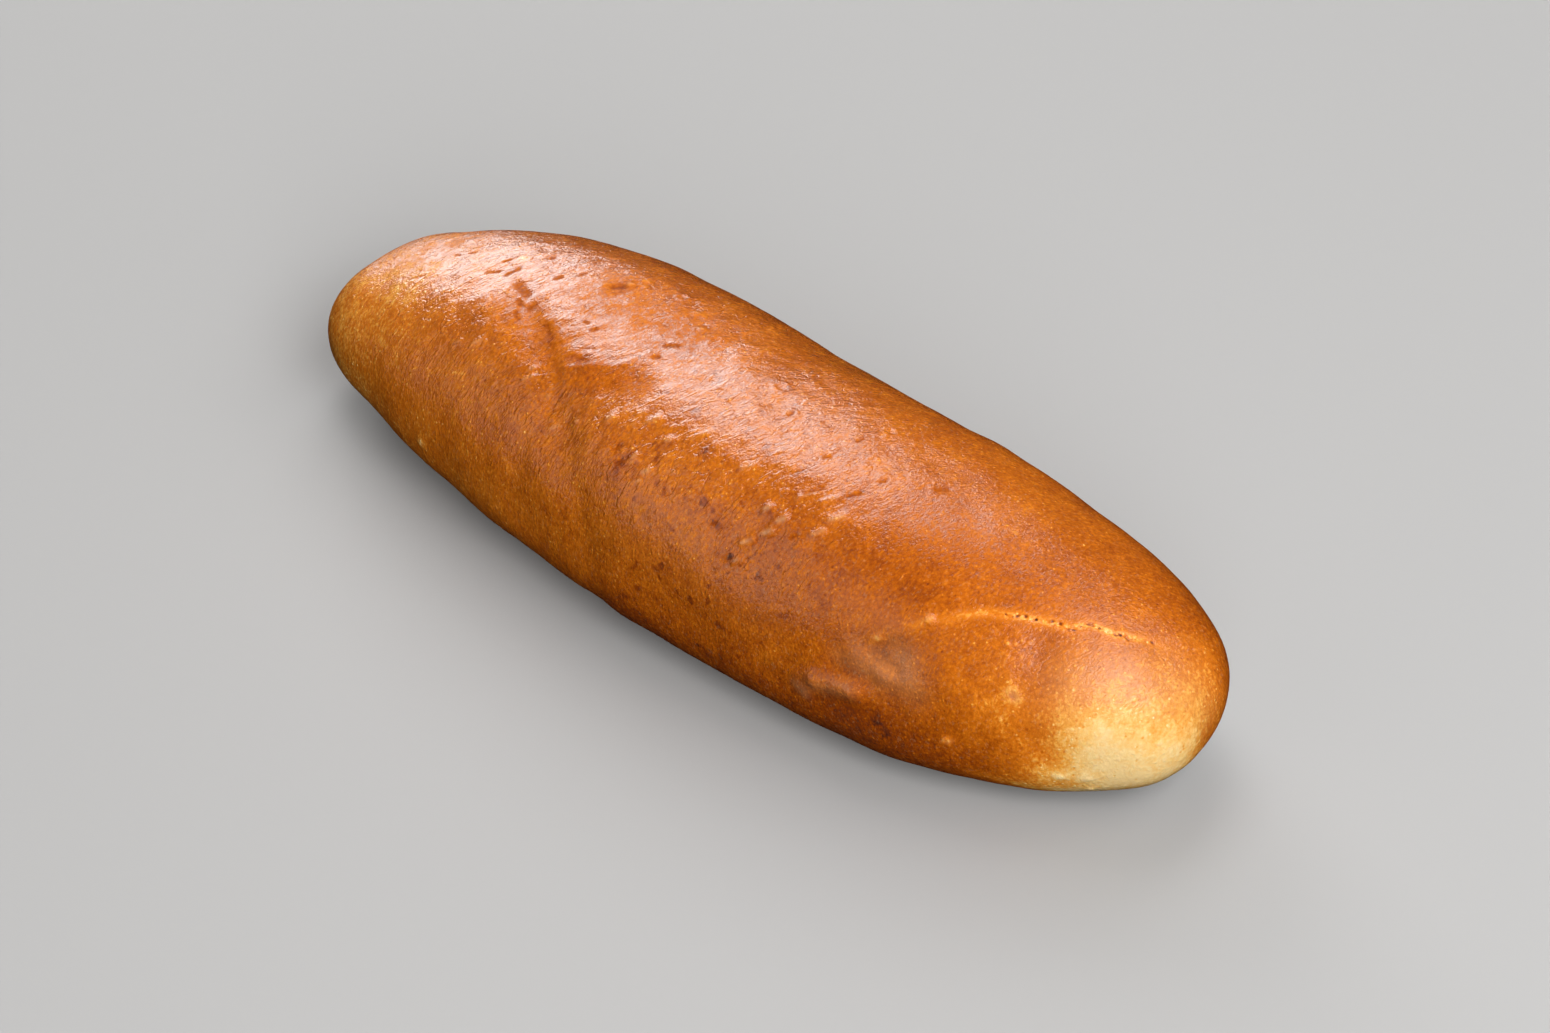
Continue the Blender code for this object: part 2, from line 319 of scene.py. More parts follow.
# Way that the blisters run, how much paler they are, a paleness that partly paints their glints,
# and their crowns of painted highlight: share of the painted sheen colour for each metre of height,
# and their width as a share of the blister's
BLISTER_WAY = (0.64, 0.66, 0.36)
BLISTER_PALE_AND_GLINT = -0.07
BLISTER_PAINTED_HIGHLIGHT = 650.0
BLISTER_CROWN = 0.45

# Crease in the pinch: its path, half width and depth
PINCH_CREASE = (
    (-0.0431, -0.0069, 0.0360),
    (-0.0395, -0.0083, 0.0357),
    (-0.0345, -0.0109, 0.0357),
    (-0.0306, -0.0134, 0.0350),
    (-0.0275, -0.0160, 0.0340),
)
PINCH_CREASE_WIDTH = 0.0017
PINCH_CREASE_DEPTH = 0.00020

# Lip beside the pinch: path, half width and height
LIP = (
    (-0.0275, -0.0138, 0.0359),
    (-0.0218, -0.0105, 0.0378),
    (-0.0199, -0.0092, 0.0382),
    (-0.0186, -0.0073, 0.0387),
    (-0.0178, -0.0048, 0.0390),
)
LIP_WIDTH = 0.0006
LIP_HEIGHT = 0.00023

# Low folds of the front side, and the creases between them, which go down: two ends of the
# line, its half width and its height
FOLDS = (
    ((0.0315, -0.0257, 0.0150), (0.0345, -0.0251, 0.0160), 0.0012, 0.00044),
    ((0.0345, -0.0251, 0.0160), (0.0412, -0.0241, 0.0171), 0.0014, 0.00068),
    ((0.0412, -0.0241, 0.0171), (0.0425, -0.0238, 0.0164), 0.0012, 0.00039),
    ((0.0372, -0.0240, 0.0193), (0.0435, -0.0226, 0.0195), 0.0009, -0.00036),
    ((0.0400, -0.0226, 0.0226), (0.0430, -0.0214, 0.0238), 0.0012, 0.00034),
    ((0.0426, -0.0216, 0.0238), (0.0470, -0.0206, 0.0228), 0.0011, -0.00044),
    ((0.0455, -0.0212, 0.0210), (0.0520, -0.0190, 0.0215), 0.0016, 0.00039),
    ((0.0480, -0.0218, 0.0166), (0.0500, -0.0214, 0.0166), 0.0009, -0.00031),
    ((0.0611, -0.0121, 0.0290), (0.0636, -0.0140, 0.0256), 0.0007, 0.00012),
    ((0.0316, -0.0255, 0.0136), (0.0334, -0.0255, 0.0125), 0.0009, 0.00034),
    ((0.0262, -0.0257, 0.0161), (0.0291, -0.0255, 0.0151), 0.0010, 0.00022),
)

# Slope that drops from the lip: a point of its edge, the way down, how far it drops, how
# deep, where it has come up again, and where it starts and ends along the roll
TERRACE_POINT = (-0.0210, -0.0100, 0.0378)
TERRACE_WAY = (0.69, -0.65, -0.29)
TERRACE_STEP = 0.0044
TERRACE_DEPTH = 0.00062
TERRACE_REACH = 0.0180
TERRACE_ENDS = (-0.0325, -0.0265, -0.0185, -0.0075)

# Crust colours from pale dough (0) to the darkest spots (1)
CRUST_COLOURS = (
    (0.00, (0.97, 0.68, 0.30)),
    (0.11, (0.95, 0.56, 0.17)),
    (0.22, (0.86, 0.36, 0.050)),
    (0.37, (0.67, 0.178, 0.008)),
    (0.55, (0.48, 0.107, 0.003)),
    (0.75, (0.285, 0.051, 0.002)),
    (1.00, (0.09, 0.020, 0.010)),
)

# Bare crust, and the light that goes a little way into it
CRUST_ROUGHNESS = 0.50
CRUST_SPECULAR = 0.10
CRUST_IOR = 1.5
SUBSURFACE_WEIGHT = 0.06
SUBSURFACE_RADIUS = (0.0040, 0.0015, 0.0005)

# Egg glaze that coats the crust: its share on the plain and on the folded half, and its shine
GLAZE_PLAIN = 1.00
GLAZE_FOLDED = 0.72
GLAZE_ROUGHNESS = 0.12
GLAZE_IOR = 1.78

# How thick the glaze lies, and the places where it is thinner: two ends of a line, its half
# width and the change
GLAZE_LEVEL = 0.74
GLAZE_BANDS = (
    # Beside the crease of the pinch and under the lip
    ((-0.0470, -0.0095, 0.0350), (-0.0330, -0.0135, 0.0345), 0.0040, -0.32),
    ((-0.0410, -0.0066, 0.0361), (-0.0310, -0.0122, 0.0358), 0.0021, -0.24),
    ((-0.0270, -0.0140, 0.0358), (-0.0145, -0.0108, 0.0382), 0.0030, -0.44),
    # Golden places of the low front side
    ((-0.0300, -0.0250, 0.0230), (0.0050, -0.0262, 0.0230), 0.0100, -0.12),
    ((0.0240, -0.0262, 0.0180), (0.0385, -0.0230, 0.0222), 0.0026, -0.50),
    ((0.0426, -0.0216, 0.0238), (0.0470, -0.0206, 0.0228), 0.0012, -0.50),
    ((0.0372, -0.0240, 0.0193), (0.0435, -0.0226, 0.0195), 0.0010, -0.50),
    ((0.0560, -0.0180, 0.0250), (0.0600, -0.0190, 0.0160), 0.0060, -0.30),
    # Over the start of the seam
    ((0.0380, -0.0135, 0.0365), (0.0500, -0.0115, 0.0345), 0.0042, -0.28),
    ((0.0454, -0.0065, 0.0368), (0.0560, -0.0040, 0.0350), 0.0085, -0.32),
    # Brown beyond the lip
    ((-0.0330, 0.0040, 0.0380), (-0.0150, 0.0050, 0.0388), 0.0090, -0.34),
    ((-0.0332, 0.0041, 0.0381), (-0.0319, 0.0060, 0.0381), 0.0016, -0.40),
    # Plain tip
    ((-0.0770, -0.0080, 0.0270), (-0.0700, 0.0020, 0.0320), 0.0090, -0.30),
)

# Grains of the crust: size, detail and how much longer they are along the slanting wrinkles
GRAIN_ROUGHNESS = 0.55
GRAINS = {
    "cloud": (0.0100, 3.0, 1.0),
    "mottle": (0.0024, 3.0, 1.2),
    "speckle": (0.00055, 3.0, 1.2),
    "wrinkle": (0.0015, 2.0, 2.2),
    "crease": (0.0030, 2.0, 1.9),
    "broken": (0.0040, 2.0, 1.0),
    "crackle": (0.00060, 2.0, 1.9),
    "streak": (0.0012, 1.0, 3.4),
    "grit": (0.00034, 2.0, 1.0),
    "dark_spots": (0.0022, 1.0, 1.3),
    # Fine pale specks that are painted glints
    "glint_specks": (0.00047, 2.0, 1.5),
}

# Grains whose middle values form sharp lines
LINED_GRAINS = ("wrinkle", "crease", "crackle")

# Grains that are cut to separate marks, with the values where a mark starts and is complete
MARKS = {
    "crease": (0.030, 0.0),
    "broken": (-0.02, 0.06),
    "streak": (0.10, 0.20),
    "dark_spots": (0.12, 0.22),
    # Painted glint specks
    "glint_specks": (0.07, 0.20),
}

# Round dots: spacing, radius, share of the places that have one and how much longer they are
# along the slanting wrinkles. They are complete within a share of the radius
DOTS = {
    "seam_pores": (0.00060, 0.00024, 0.60, 1.0),
    "pale_specks": (0.0011, 0.00024, 0.50, 1.0),
    "pores": (0.0010, 0.00022, 0.45, 1.5),
}
DOT_MIDDLE = 0.5

# Heights of the finest relief, below the size of a mesh cell, and the shares of the wrinkles and
# of the streaks that the smooth folded half loses
WRINKLE_HEIGHT = 0.00026
HEIGHTS = {
    "crackle": 0.00024,
    "streak": 0.00009,
    "grit": 0.00003,
    "crease": -0.00006,
    "pores": -0.00003,
    "seam_pores": -0.00015,
    "pale_specks": 0.00003,
}
WRINKLE_LOSS = 0.6
STREAK_LOSS = 0.8

# How much browner each grain makes the crust, or paler below 0. The pale dough keeps only a
# share of the fine ones, and has all of them from the second value of the bake on
SHADES = {
    "cloud": 0.24,
    "mottle": 0.28,
    "fine": 1.0,
    "crease": 0.06,
    "dark_spots": 0.27,
    "pores": 0.12,
    "seam_line": -0.29,
    "seam_pores": 0.85,
    "pale_specks": -0.20,
}
FINE_SHADES = {"speckle": 0.50, "crackle": -0.50, "streak": -0.04}
PALE_SHARE = 0.45
BROWNED = (0.05, 0.50)

# The grains in the seam's pale line, and how close its pores lie to its middle
SEAM_GRAIN = {"speckle": 5.0, "mottle": 1.5}
SEAM_PORE_POWER = 12.0

# The grains in the roughness and in the glaze, and the thickness where the glaze starts to cover
# the crust and where it covers it
ROUGHNESS_GRAIN = {"mottle": 0.3, "speckle": 0.3}
GLAZE_GRAIN = {"mottle": 0.9, "speckle": 0.9}
GLAZE_COVER = (0.25, 0.75)

# How much the crust is baked, and the places that are baked more or less: two ends of a
# line, its half width and the change
BAKE_LEVEL = 0.55
BAKE_BANDS = (
    # Pale line along the foot of the folded end
    ((0.0610, -0.0185, 0.0080), (0.0767, -0.0080, 0.0064), 0.0013, -0.24),
    # Pale end and the dough round it
    ((0.0775, -0.0085, 0.0175), (0.0836, -0.0008, 0.0150), 0.0074, -0.40),
    ((0.0800, -0.0060, 0.0070), (0.0845, 0.0000, 0.0080), 0.0050, -0.22),
    ((0.0750, -0.0068, 0.0240), (0.0822, 0.0040, 0.0215), 0.0070, -0.08),
    ((0.0700, -0.0135, 0.0100), (0.0767, -0.0087, 0.0090), 0.0048, -0.16),
    ((0.0650, -0.0145, 0.0230), (0.0740, -0.0115, 0.0140), 0.0085, -0.12),
    ((0.0750, -0.0060, 0.0250), (0.0810, 0.0020, 0.0235), 0.0055, -0.03),
    ((0.0737, -0.0116, 0.0169), (0.0740, -0.0110, 0.0150), 0.0035, 0.06),
    ((0.0786, 0.0107, 0.0245), (0.0837, 0.0083, 0.0191), 0.0050, -0.08),
    ((0.0830, 0.0075, 0.0200), (0.0848, 0.0072, 0.0160), 0.0060, -0.04),
    ((0.0810, -0.0040, 0.0110), (0.0845, 0.0010, 0.0100), 0.0045, -0.08),
    ((0.0611, -0.0121, 0.0290), (0.0636, -0.0140, 0.0256), 0.0007, -0.08),
    ((0.0639, -0.0158, 0.0225), (0.0679, -0.0117, 0.0250), 0.0042, -0.08),
    # Browner crust between the seam and the pale end, with painted shade down the valley there
    ((0.0653, -0.0076, 0.0290), (0.0668, -0.0100, 0.0262), 0.0032, 0.12),
    ((0.0668, -0.0120, 0.0245), (0.0680, -0.0136, 0.0200), 0.0028, 0.12),
    # Olive brown in the pinch
    ((-0.0430, -0.0070, 0.0361), (-0.0345, -0.0110, 0.0358), 0.0020, 0.02),
    ((-0.0345, -0.0110, 0.0358), (-0.0265, -0.0170, 0.0337), 0.0022, 0.02),
    ((-0.0250, -0.0125, 0.0365), (-0.0150, -0.0100, 0.0384), 0.0024, 0.07),
    # Lighter place on the front side
    ((-0.0093, -0.0255, 0.0267), (0.0006, -0.0272, 0.0212), 0.0040, -0.04),
    # Golden plain end
    ((-0.0800, -0.0160, 0.0150), (-0.0740, -0.0100, 0.0270), 0.0160, -0.20),
    ((-0.0560, -0.0220, 0.0200), (-0.0440, -0.0230, 0.0200), 0.0120, -0.07),
    # Start of the fold's crest
    ((0.0428, -0.0203, 0.0265), (0.0493, -0.0157, 0.0316), 0.0007, -0.12),
    ((0.0493, -0.0157, 0.0316), (0.0555, -0.0100, 0.0327), 0.0006, -0.05),
    # Golden foot of the plain end
    ((-0.0680, -0.0230, 0.0080), (-0.0380, -0.0260, 0.0060), 0.0080, -0.08),
    # Browner along the far shoulder; darker along the foot of the front side, which is painted shade,
    # with a lighter strip over it; and browner over the folds
    ((-0.0500, 0.0260, 0.0290), (0.0760, 0.0220, 0.0220), 0.0085, 0.13),
    ((-0.0300, -0.0260, 0.0060), (0.0000, -0.0265, 0.0060), 0.0080, 0.06),
    ((0.0000, -0.0265, 0.0060), (0.0450, -0.0235, 0.0050), 0.0090, 0.19),
    ((-0.0300, -0.0265, 0.0160), (0.0000, -0.0270, 0.0160), 0.0070, -0.05),
    ((0.0400, -0.0220, 0.0120), (0.0600, -0.0190, 0.0090), 0.0070, 0.20),
    ((0.0180, -0.0240, 0.0250), (0.0520, -0.0180, 0.0240), 0.0080, 0.06),
    ((0.0380, -0.0100, 0.0360), (0.0500, -0.0040, 0.0360), 0.0080, 0.06),
    ((0.0200, -0.0180, 0.0350), (0.0450, -0.0130, 0.0340), 0.0055, 0.06),
    ((0.0560, 0.0080, 0.0350), (0.0700, 0.0120, 0.0310), 0.0070, 0.05),
    ((0.0571, -0.0064, 0.0337), (0.0612, -0.0113, 0.0296), 0.0060, 0.05),
    ((0.0442, -0.0199, 0.0258), (0.0492, -0.0188, 0.0262), 0.0030, 0.04),
    # Lighter dough beside the low folds
    ((0.0260, -0.0254, 0.0190), (0.0315, -0.0247, 0.0195), 0.0022, -0.05),
    ((0.0253, -0.0258, 0.0156), (0.0300, -0.0254, 0.0156), 0.0014, -0.06),
)

# Patches of painted pinkish sheen and highlight: two ends of a line, its half width and the
# share of the painted sheen colour
PAINTED_SHEEN_BANDS = (
    ((0.0414, -0.0219, 0.0234), (0.0483, -0.0200, 0.0237), 0.0030, 0.12),
    ((0.0450, -0.0218, 0.0211), (0.0508, -0.0205, 0.0211), 0.0026, 0.11),
    ((0.0457, -0.0191, 0.0273), (0.0477, -0.0193, 0.0255), 0.0020, 0.09),
    ((0.0316, -0.0255, 0.0135), (0.0332, -0.0255, 0.0126), 0.0010, 0.20),
    ((0.0343, -0.0251, 0.0154), (0.0410, -0.0241, 0.0172), 0.0013, 0.20),
    ((0.0376, -0.0230, 0.0217), (0.0416, -0.0225, 0.0211), 0.0018, 0.07),
    ((-0.0008, -0.0255, 0.0277), (0.0230, -0.0243, 0.0248), 0.0060, 0.03),
    ((0.0728, -0.0076, 0.0261), (0.0794, -0.0002, 0.0244), 0.0060, 0.22),
    ((0.0818, 0.0055, 0.0221), (0.0844, 0.0063, 0.0179), 0.0050, 0.10),
    ((0.0643, -0.0143, 0.0246), (0.0648, -0.0142, 0.0242), 0.0008, 0.26),
)

# Painted sheen colour, and its share in the painted glint specks all over the crust
PAINTED_SHEEN_COLOUR = (0.75, 0.45, 0.22, 1.0)
GLINT_SPECK_SHARE = {"glint_specks": 0.12}

# Small places of their own shade: place, radius and change of the bake
SPOTS = (
    # Pale specks, and pale blisters whose paleness partly paints their glints
    ((-0.0522, 0.0020, 0.0354), 0.0008, -0.30),
    ((0.0500, 0.0034, 0.0363), 0.0004, -0.35),
    ((0.0647, -0.0143, 0.0245), 0.0013, -0.24),
    ((0.0730, -0.0126, 0.0111), 0.0006, -0.20),
    ((0.0762, -0.0099, 0.0108), 0.0006, -0.15),
    ((0.0576, -0.0204, 0.0145), 0.0007, -0.22),
    ((0.0567, -0.0208, 0.0145), 0.0006, -0.20),
    ((-0.0512, -0.0247, 0.0131), 0.0009, -0.20),
    ((0.0429, -0.0204, 0.0267), 0.0007, -0.22),
    ((0.0398, -0.0249, 0.0170), 0.0016, -0.14),
    ((0.0358, -0.0255, 0.0163), 0.0014, -0.12),
    ((0.0607, -0.0111, 0.0304), 0.0003, -0.24),
    ((0.0616, -0.0104, 0.0305), 0.0003, -0.20),
    ((0.0621, -0.0095, 0.0307), 0.0003, -0.20),
    ((0.0630, -0.0090, 0.0305), 0.0003, -0.24),
    # Brown beside the bubble on the crest
    ((-0.0325, 0.0047, 0.0381), 0.0014, 0.10),
    # Dark spots on the front side
    ((-0.0105, -0.0198, 0.0340), 0.0007, 0.10),
    ((-0.0088, -0.0219, 0.0322), 0.0008, 0.10),
    ((-0.0100, -0.0234, 0.0306), 0.0010, 0.09),
    ((0.0111, -0.0218, 0.0316), 0.0008, 0.13),
    ((0.0076, -0.0218, 0.0323), 0.0007, 0.10),
    ((0.0138, -0.0235, 0.0285), 0.0007, 0.10),
    ((0.0112, -0.0197, 0.0339), 0.0007, 0.10),
    ((0.0062, -0.0267, 0.0223), 0.0009, 0.10),
    ((0.0080, -0.0270, 0.0180), 0.0008, 0.09),
    ((0.0134, -0.0268, 0.0167), 0.0009, 0.09),
    ((0.0240, -0.0258, 0.0172), 0.0010, 0.09),
    ((0.0186, -0.0208, 0.0317), 0.0007, 0.10),
    # Brown in the low folds of the front side, with painted shade in their creases and under their lips
    ((0.0460, -0.0234, 0.0134), 0.0010, 0.26),
    ((0.0478, -0.0232, 0.0118), 0.0008, 0.20),
    ((0.0442, -0.0206, 0.0244), 0.0013, 0.13),
    ((0.0402, -0.0232, 0.0200), 0.0014, 0.07),
    ((0.0414, -0.0228, 0.0200), 0.0012, 0.06),
    ((0.0358, -0.0249, 0.0177), 0.0009, 0.08),
    ((0.0474, -0.0218, 0.0190), 0.0012, 0.09),
    ((0.0281, -0.0259, 0.0120), 0.0009, 0.10),
    ((0.0461, -0.0232, 0.0150), 0.0006, 0.12),
    ((0.0461, -0.0234, 0.0138), 0.0006, 0.12),
    ((0.0478, -0.0232, 0.0120), 0.0008, 0.10),
    ((0.0330, -0.0224, 0.0261), 0.0008, 0.08),
    ((0.0544, -0.0212, 0.0154), 0.0008, 0.08),
)

# Region of the front side with many dark spots: its middle and radius
SPOTTED_PLACE = (0.0080, -0.0240, 0.0270)
SPOTTED_RADIUS = 0.024

# Plain pale floor
FLOOR_REACH = 4.0
FLOOR_COLOUR = (0.42, 0.415, 0.41, 1.0)
FLOOR_ROUGHNESS = 0.9
FLOOR_SPECULAR = 0.2

# Soft lights a metre off: azimuth, elevation, width, height, tilt and power. The angles are in
# degrees
LIGHTS = {
    "key_high": (131.0, 55.0, 0.45, 0.89, -32.0, 4.27),
    "key_low": (152.0, 19.0, 0.50, 0.86, -13.0, 5.9),
    "right": (22.0, 52.0, 1.05, 0.55, -6.0, 3.3),
    "front": (-114.0, 20.0, 0.85, 0.98, 0.0, 1.30),
    "dome": (-8.0, 34.0, 0.95, 0.50, 0.0, 2.3),
    "camera_side": (-34.0, 37.0, 1.01, 0.60, 54.0, 10.1),
}

# Lights that the roll doesn't reflect
UNREFLECTED = ("camera_side",)

# Light from the room: strength from under the floor and from above it, between these heights of
# its direction, and strength of the background that is seen
ROOM_STRENGTH = (0.005, 0.02)
ROOM_HORIZON = (-0.2, 0.1)
BACKGROUND_STRENGTH = 0.60

# Camera, fitted to the outline
CAMERA_PLACE = (0.30519, -0.34071, 0.43760)
CAMERA_TARGET = (-0.005262, 0.011187, 0.0)
LENS = 90.0
SENSOR = 36.0


def ease(values, low, high):
    """Smooth step from 0 at low to 1 at high."""
    share = np.clip((values - low) / (high - low), 0.0, 1.0)
    return share * share * (3.0 - 2.0 * share)


def bell(distances, width):
    return np.exp(-((distances / width) ** 2))


def taper(reach, fullness):
    """Share of the middle section that is left at a reach of -1 to 1 along the roll."""
    return np.maximum(0.0, 1.0 - np.abs(reach) ** fullness) ** (1.0 / fullness)


def rounded(share, fullness):
    """Coordinate of a superellipse, from the cosine or sine of its angle."""
    return np.copysign(np.abs(share) ** (2.0 / fullness), share)


def unit(vector):
    return np.array(vector) / np.linalg.norm(vector)


def roll_points(reach, angle):
    """Points of the plain form. The angle turns from the far side over the top to the front."""
    end = (reach >= 0).astype(int)
    plan, side, base = (np.array(pair)[end] for pair in (PLAN_FULLNESS, SIDE_FULLNESS, BASE_FULLNESS))
    across = np.cos(angle)
    up = np.sin(angle)
    section = np.where(up > 0, UPPER_FULLNESS, LOWER_FULLNESS)
    half_width = WIDTH / 2 * taper(reach, plan) * np.where(across < 0, FRONT_SHARE, 1.0)
    lean = np.array(TIP_LEAN)[end] * np.abs(reach) ** np.array(LEAN_POWER)[end]
    y = half_width * rounded(across, section) + BOW * (1 - reach * reach) + lean
    crown = (HEIGHT - SHOULDER) * taper(reach, side)
    belly = BASE_CUT * SHOULDER * taper(reach, base)
    z = SHOULDER + np.where(up > 0, crown, belly) * rounded(up, section)
    return np.stack((LENGTH / 2 * reach, y, np.maximum(0.0, z)), axis=1)


def block_to_roll(corners):
    """Places on the plain form for the points of the gridded block."""
    rays = np.tan(corners * math.pi / 4)
    rays /= np.linalg.norm(rays, axis=1)[:, None]
    turn = np.arcsin(np.clip(rays[:, 0], -1.0, 1.0)) / (math.pi / 2)
    left = 1 - np.abs(turn)
    reach = np.copysign(1 - left * left * (1 - TIP_CROWDING * np.abs(turn)), turn)
    angle = np.arctan2(rays[:, 2], rays[:, 1])
    return settle(roll_points(reach, angle + CROWDING * np.cos(angle)))


def settle(points):
    """Put the middle of the roll's box over the origin. The flat base is at height 0 already."""
    middle = (points.min(axis=0) + points.max(axis=0)) / 2
    return points - middle * np.array((1.0, 1.0, 0.0))


def block_points(mesh):
    return np.array([vertex.co[:] for vertex in mesh.verts])


def refine(mesh, near):
    """Halve the cells whose corners are all marked as near."""
    mesh.verts.index_update()
    edges = [edge for edge in mesh.edges if near[edge.verts[0].index] and near[edge.verts[1].index]]
    bmesh.ops.subdivide_edges(mesh, edges=edges, cuts=1, use_grid_fill=True)


def near_details(points):
    """Marks of the points beside the seam, a blister or a dimple."""
    near = distance_to_path(points, SEAM) < FINE_SEAM_REACH
    for place, half_length, width, rise in BLISTERS:
        near |= distance_to_line(points, *blister_ends(place, half_length)) < FINE_REACH
    for start, end, width, depth in DIMPLES:
        near |= distance_to_line(points, start, end) < FINE_REACH
    return near


def gridded_block():
    """Block of even cells, with finer ones where the crust has its smallest forms."""
    mesh = bmesh.new()
    bmesh.ops.create_cube(mesh, size=BLOCK_SIZE)
    for axis, count in enumerate(CELLS):
        along = []
        for edge in mesh.edges:
            run = edge.verts[1].co - edge.verts[0].co
            if abs(run[axis]) > BLOCK_SIZE / 2:
                along.append(edge)
        bmesh.ops.subdivide_edges(mesh, edges=along, cuts=count - 1)
    points = block_to_roll(block_points(mesh))
    low, high = np.array(FINE_BOX)
    boxed = ((points > low) & (points < high)).all(axis=1)
    refine(mesh, boxed | near_details(points))
    refine(mesh, near_details(block_to_roll(block_points(mesh))))
    bmesh.ops.recalc_face_normals(mesh, faces=mesh.faces)
    return mesh


def distance_to_line(points, start, end):
    start = np.array(start)
    run = np.array(end) - start
    share = np.clip((points - start) @ run / (run @ run), 0.0, 1.0)
    return np.linalg.norm(points - start - share[:, None] * run, axis=1)


def distance_to_path(points, path):
    return np.min([distance_to_line(points, *ends) for ends in zip(path, path[1:])], axis=0)


def distance_to_point(points, place):
    return np.linalg.norm(points - np.array(place), axis=1)


def waves(points, size, seed, stretch=(1.0, 1.0, 1.0)):
    """Smooth noise of about -1 to 1 whose waves have the given size, longer where stretched."""
    places = points / (size * np.array(stretch)) + np.array(seed)
    return np.array([noise.noise(place) for place in places.tolist()])


def slanted(points):
    """Places turned so that their second axis runs along the slanting wrinkles."""
    turn = np.array(((math.cos(SLANT), -math.sin(SLANT)), (math.sin(SLANT), math.cos(SLANT))))
    return np.column_stack((points[:, :2] @ turn.T, points[:, 2]))


def uneven_relief(points):
    return sum(amount * waves(points, size, UNEVEN_SEED) for size, amount in UNEVENNESS)


def fold_relief(points):
    """Groove of the fold, with the dough on its front side a little lower."""
    distance = (points - np.array(FOLD_POINT)) @ unit(FOLD_NORMAL)
    run = ease(points[:, 0], FOLD_START, FOLD_START + FOLD_FADE)
    run *= 1 - ease(points[:, 0], FOLD_END - FOLD_FADE / 2, FOLD_END)
    run *= ease(points[:, 2], FOLD_FLOOR, FOLD_FLOOR + FOLD_FADE / 2)
    groove = FOLD_DEPTH * bell(distance, FOLD_WIDTH)
    step = FOLD_STEP * ease(distance, -FOLD_WIDTH, 0.0) * (1 - ease(distance, 0.0, FOLD_STEP_REACH))
    return -run * (groove + step)


def pinch_relief(points):
    distance = (points - np.array(PINCH_POINT)) @ unit(PINCH_NORMAL)
    run = ease(points[:, 0], PINCH_START, PINCH_START + PINCH_FADE)
    run *= 1 - ease(points[:, 0], PINCH_END - PINCH_FADE, PINCH_END)
    return -run * PINCH_DEPTH * bell(distance, PINCH_WIDTH)


def line_values(points, level, lines):
    """A level that changes near some lines."""
    values = np.full(len(points), level)
    for start, end, width, change in lines:
        values += change * bell(distance_to_line(points, start, end), width)
    return values


def main_relief(points):
    height = uneven_relief(points) + fold_relief(points) + pinch_relief(points)
    height += line_values(points, 0.0, SWELLS) - line_values(points, 0.0, HOLLOWS)
    return height * ease(points[:, 2], 0.0, BASE_FADE)


def smoothness(points):
    """0 on the wrinkled plain half of the roll, 1 on the smooth folded half."""
    return ease(points[:, 0], SMOOTH_START, SMOOTH_END)


def lowness(points):
    """0 on the top of the roll, 1 near its foot."""
    return 1 - ease(points[:, 2], LOW_END, LOW_START)


def skin_relief(points):
    smooth = smoothness(points)
    turned = slanted(points)
    height = np.zeros(len(points))
    for size, amount, stretch, kept in SKIN:
        strength = 1 - smooth * (1 - kept)
        height += amount * strength * waves(turned, size, SKIN_SEED, (1.0, stretch, stretch))
    far = ease(points[:, 1], FAR_START, FAR_END)
    tip = TIP_SMOOTH * (1 - ease(points[:, 0], TIP_END, TIP_START))
    return height * (1 - (1 - SIDE_SHARE) * np.maximum(np.maximum(far, lowness(points)), tip))


def seam_run(points):
    """Share of the seam that is left towards its two ends."""
    return ease(points[:, 0], *SEAM_ENDS[:2]) * (1 - ease(points[:, 0], *SEAM_ENDS[2:]))


def seam_relief(points):
    distance = distance_to_path(points, SEAM)
    rims = SEAM_RIM_HEIGHT * bell(distance - SEAM_RIM, SEAM_RIM_WIDTH)
    return seam_run(points) * (rims - SEAM_DEPTH * bell(distance, SEAM_WIDTH))


def terrace_relief(points):
    """Dough that drops beside the lip and comes up again slowly."""
    distance = (points - np.array(TERRACE_POINT)) @ unit(TERRACE_WAY)
    run = ease(points[:, 0], *TERRACE_ENDS[:2]) * (1 - ease(points[:, 0], *TERRACE_ENDS[2:]))
    step = ease(distance, 0.0, TERRACE_STEP) * (1 - ease(distance, TERRACE_STEP, TERRACE_REACH))
    return -TERRACE_DEPTH * run * step


def blister_ends(place, half_length):
    along = unit(BLISTER_WAY) * half_length
    return np.array(place) - along, np.array(place) + along


def small_relief(points):
    height = line_values(points, 0.0, FOLDS) - line_values(points, 0.0, DIMPLES)
    for place, radius, depth in PITS:
        height -= depth * bell(distance_to_point(points, place), radius)
    for place, radius, rise in RINGS:
        distance = distance_to_point(points, place)
        height += rise * (bell(distance - radius, RING_WIDTH) - RING_DIP * bell(distance, radius / 2))
    for place, half_length, width, rise in BLISTERS:
        height += rise * bell(distance_to_line(points, *blister_ends(place, half_length)), width)
    height += LIP_HEIGHT * bell(distance_to_path(points, LIP), LIP_WIDTH)
    height -= PINCH_CREASE_DEPTH * bell(distance_to_path(points, PINCH_CREASE), PINCH_CREASE_WIDTH)
    return height + terrace_relief(points)


def fine_relief(points):
    height = skin_relief(points) + seam_relief(points) + small_relief(points)
    return height * ease(points[:, 2], 0.0, BASE_FADE)


def place_points(data, points):
    data.vertices.foreach_set("co", points.ravel())
    data.update()


def raised(data, points, heights):
    """Points moved out of the surface by their heights."""
    place_points(data, points)
    normals = np.empty(len(points) * 3, dtype=np.float32)
    data.vertex_normals.foreach_get("vector", normals)
    return points + normals.reshape(-1, 3).astype(float) * heights[:, None]


def add_values(data, name, values):
    attribute = data.attributes.new(name, "FLOAT", "POINT")
    attribute.data.foreach_set("value", values)


